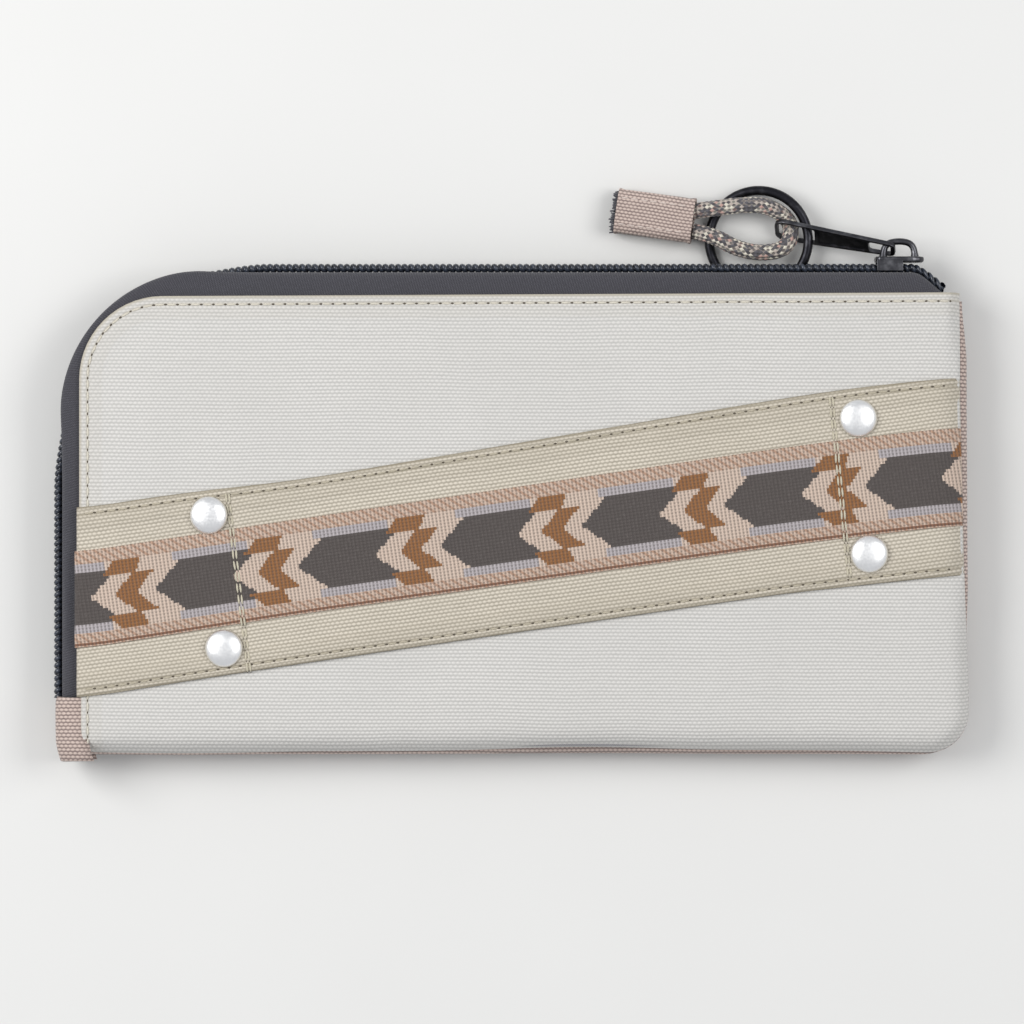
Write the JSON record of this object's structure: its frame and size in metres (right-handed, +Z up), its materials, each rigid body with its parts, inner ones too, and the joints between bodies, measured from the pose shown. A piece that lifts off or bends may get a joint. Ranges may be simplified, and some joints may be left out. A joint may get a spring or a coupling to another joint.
{
  "type": "zippered pouch",
  "caption": "Slim flat canvas pouch with an L-shaped zip over one rounded corner, a slanted riveted strap with a woven ribbon, and a zip pull with ring and cord loop.",
  "frame": {"origin": "on the flat resting face of the back panel, under the middle of the pouch body", "axes": "+X along the pouch's length towards the closed end of the zip, +Y from the sewn bottom edge towards the zip, +Z up out of the front panel; the pouch lies on its back"},
  "size_m": [0.1999, 0.1244, 0.018],
  "materials": {
    "ivory_canvas": "coarse plain-weave canvas",
    "mauve_canvas": "coarse plain-weave canvas",
    "grey_lining": "thin plain lining",
    "charcoal_tape": "woven zip tape",
    "black_nylon": "moulded nylon coil",
    "khaki_canvas": "folded canvas strap",
    "woven_ribbon": "patterned woven ribbon",
    "satin_nickel": "satin nickel",
    "gunmetal": "dark gunmetal plating",
    "mauve_cord": "braided cord"
  },
  "bodies": {
    "pouch": {"back_lining": "grey_lining", "back_panel": "mauve_canvas", "front_lining": "grey_lining", "front_panel": "ivory_canvas", "rivet_cap_lower_left": "satin_nickel", "rivet_cap_lower_right": "satin_nickel", "rivet_cap_upper_left": "satin_nickel", "rivet_cap_upper_right": "satin_nickel", "rivet_post_lower_left": "satin_nickel", "rivet_post_lower_right": "satin_nickel", "rivet_post_upper_left": "satin_nickel", "rivet_post_upper_right": "satin_nickel", "strap_base": "khaki_canvas", "strap_ribbon": "woven_ribbon", "zip_coil_back": "black_nylon", "zip_coil_front": "black_nylon", "zip_end_tab": "mauve_canvas", "zip_tape_back": "charcoal_tape", "zip_tape_front": "charcoal_tape"},
    "front_corner": {"front_lining_corner": "grey_lining", "front_panel_corner": "ivory_canvas", "zip_coil_front_corner": "black_nylon", "zip_tape_front_corner": "charcoal_tape"},
    "slider": {"slider_body": "gunmetal", "slider_bridge": "gunmetal"},
    "tab": {"pull_tab": "gunmetal"},
    "ring": {"pull_ring": "gunmetal"},
    "cord": {"pull_cord": "mauve_cord", "cord_wrap": "mauve_canvas"}
  },
  "joints": [
    {"name": "zip_slide", "type": "slide", "parent": "pouch", "child": "slider", "axis": [1, 0, 0], "range_m": [-0.145, 0]},
    {"name": "mouth_fold", "type": "hinge", "parent": "pouch", "child": "front_corner", "pos_m": [-0.0989, 0.0026, 0.0157], "axis": [-0.9563, -0.2923, 0], "range_deg": [-40, 0]},
    {"name": "tab_swing", "type": "hinge", "parent": "slider", "child": "tab", "pos_m": [0.08345, 0.05742, 0.0086], "axis": [0, 0, 1], "range_deg": [-85, 0]},
    {"name": "ring_swing", "type": "hinge", "parent": "tab", "child": "ring", "pos_m": [0.06513, 0.06092, 0.00413], "axis": [-0.1191, 0.9917, 0.048], "range_deg": [-45, 0]},
    {"name": "cord_lift", "type": "hinge", "parent": "tab", "child": "cord", "pos_m": [0.06142, 0.06164, 0.00325], "axis": [0.01, 0.8883, -0.4591], "range_deg": [0, 8]}
  ]
}
